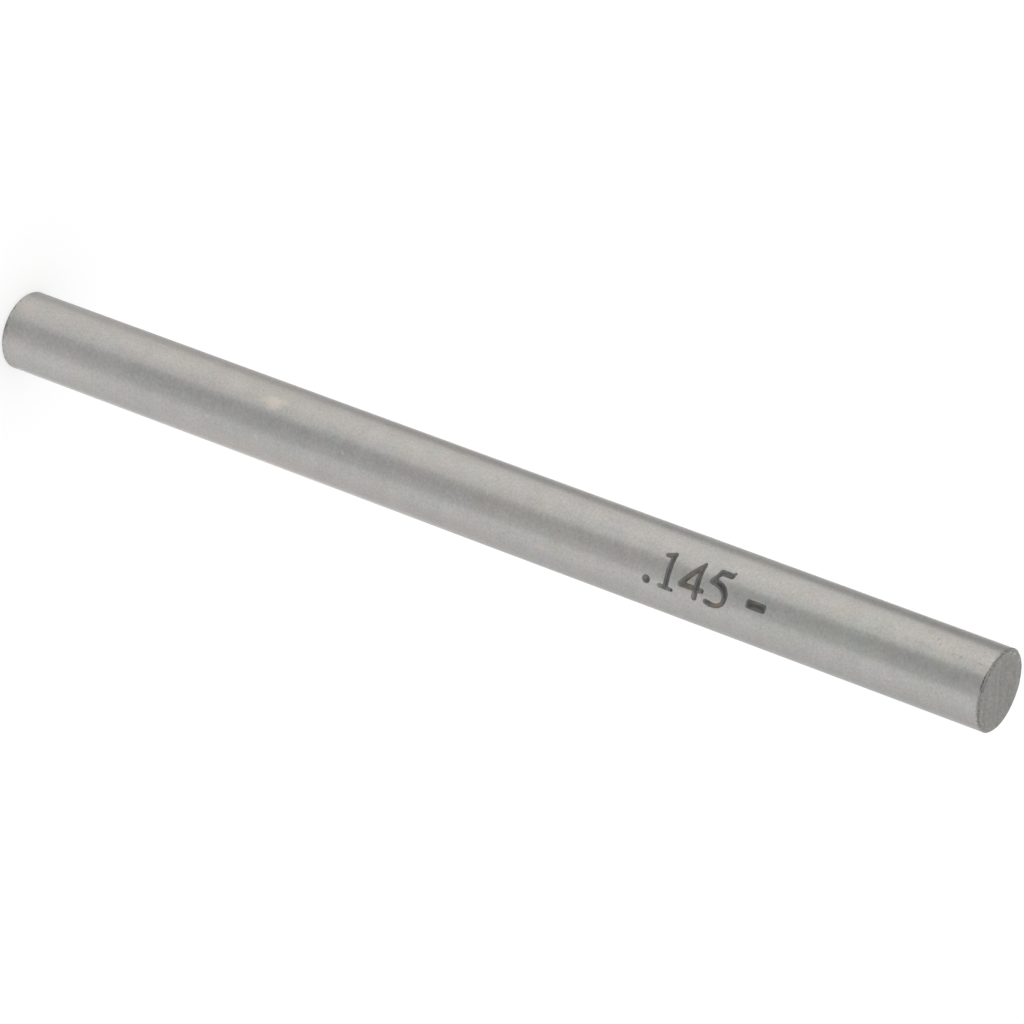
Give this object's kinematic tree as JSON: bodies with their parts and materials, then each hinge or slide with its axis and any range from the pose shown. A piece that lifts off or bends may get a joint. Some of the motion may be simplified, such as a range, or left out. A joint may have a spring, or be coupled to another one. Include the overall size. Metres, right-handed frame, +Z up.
{
  "type": "pin gauge",
  "caption": "Plain cylindrical steel pin gauge, ground to size, with square ends and finely broken edges, for testing the size of a hole.",
  "frame": {"origin": "centre of the lower end face, on which the pin stands", "axes": "+Z up along the pin's axis; -Y is the side with the size mark"},
  "size_m": [0.0036, 0.0036, 0.0508],
  "materials": {
    "ground_steel": "fine ground, satin, with lines round the pin"
  },
  "bodies": {
    "root": {"pin": "ground_steel"}
  },
  "joints": []
}
